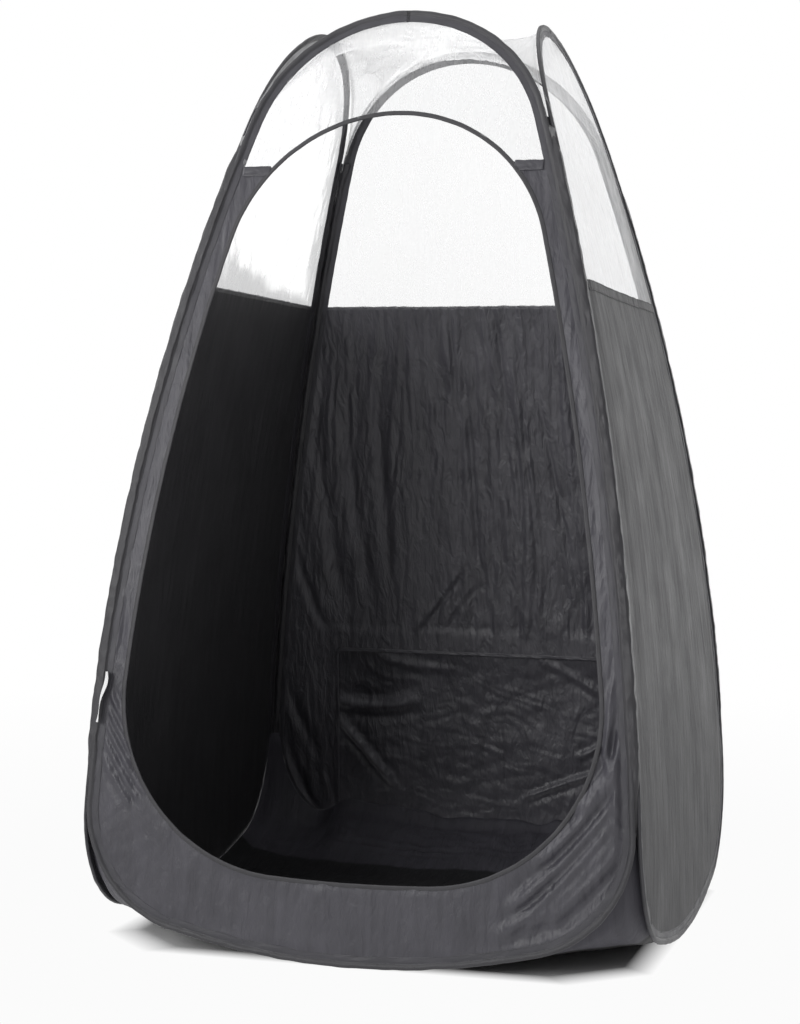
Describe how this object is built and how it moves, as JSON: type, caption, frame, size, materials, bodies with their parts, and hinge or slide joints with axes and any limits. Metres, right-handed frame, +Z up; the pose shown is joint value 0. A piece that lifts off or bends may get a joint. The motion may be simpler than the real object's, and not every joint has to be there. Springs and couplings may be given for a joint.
{
  "type": "pop-up booth tent",
  "caption": "Tall pop-up booth tent with sprung hoops, dark fabric walls, clear upper windows, clear roof, an open arched doorway and a low rear vent flap.",
  "frame": {"origin": "on the ground under the middle of the tent", "axes": "+Z up; the doorway faces -Y; +X to the right of someone looking in at the doorway"},
  "size_m": [1.269, 1.2839, 2.1109],
  "materials": {
    "wall_cloth": "matte woven nylon, charcoal",
    "sleeve_cloth": "matte woven nylon, charcoal",
    "binding_cloth": "folded bias tape, dark charcoal",
    "floor_cloth": "coated woven polyester, black",
    "window_film": "thin translucent film, slightly milky",
    "spring_steel": "blued flat spring steel",
    "ferrule_steel": "crimped steel tube",
    "hook_and_loop": "hook and loop tape, black",
    "tag_cloth": "plain white woven tag"
  },
  "bodies": {
    "front_panel": {"front_hoop_sleeve": "sleeve_cloth", "front_hoop_wire": "spring_steel", "front_hoop_ferrule": "ferrule_steel", "front_wall": "wall_cloth", "front_window_film": "window_film", "front_window_seam_left": "binding_cloth", "front_window_seam_right": "binding_cloth", "door_binding": "binding_cloth", "blank_tag": "tag_cloth", "roof_film": "window_film", "floor_sheet": "floor_cloth"},
    "left_panel": {"left_hoop_sleeve": "sleeve_cloth", "left_hoop_wire": "spring_steel", "left_hoop_ferrule": "ferrule_steel", "left_wall": "wall_cloth", "left_window_film": "window_film", "left_window_seam": "binding_cloth"},
    "right_panel": {"right_hoop_sleeve": "sleeve_cloth", "right_hoop_wire": "spring_steel", "right_hoop_ferrule": "ferrule_steel", "right_wall": "wall_cloth", "right_window_film": "window_film", "right_window_seam": "binding_cloth"},
    "back_panel": {"back_hoop_sleeve": "sleeve_cloth", "back_hoop_wire": "spring_steel", "back_hoop_ferrule": "ferrule_steel", "back_wall": "wall_cloth", "back_window_film": "window_film", "back_window_seam": "binding_cloth", "vent_binding": "binding_cloth", "vent_hinge_tape": "binding_cloth", "vent_hook_pad_left": "hook_and_loop", "vent_hook_pad_right": "hook_and_loop"},
    "vent_flap": {"vent_flap_cloth": "wall_cloth", "vent_flap_loop_pad_left": "hook_and_loop", "vent_flap_loop_pad_right": "hook_and_loop"}
  },
  "joints": [
    {"name": "left_fold", "type": "hinge", "parent": "front_panel", "child": "left_panel", "pos_m": [-0.6245, -0.6245, 0], "axis": [-0.1675, -0.1675, -0.9715], "range_deg": [0, 88], "deforming": ["roof_film", "floor_sheet"]},
    {"name": "right_fold", "type": "hinge", "parent": "front_panel", "child": "right_panel", "pos_m": [0.78051, -0.78051, 0], "axis": [0.2061, -0.2061, -0.9566], "range_deg": [0, 88]},
    {"name": "back_fold", "type": "hinge", "parent": "left_panel", "child": "back_panel", "pos_m": [-0.78051, 0.78051, 0], "axis": [0.2061, -0.2061, 0.9566], "range_deg": [0, 88]},
    {"name": "vent_flap_swing", "type": "hinge", "parent": "back_panel", "child": "vent_flap", "pos_m": [0, 0.60648, 0.587], "axis": [1, 0, 0], "range_deg": [0, 120]}
  ],
  "couplings": [
    {"joint": "right_fold", "follows": "left_fold", "ratio": 1},
    {"joint": "back_fold", "follows": "left_fold", "ratio": 1}
  ]
}
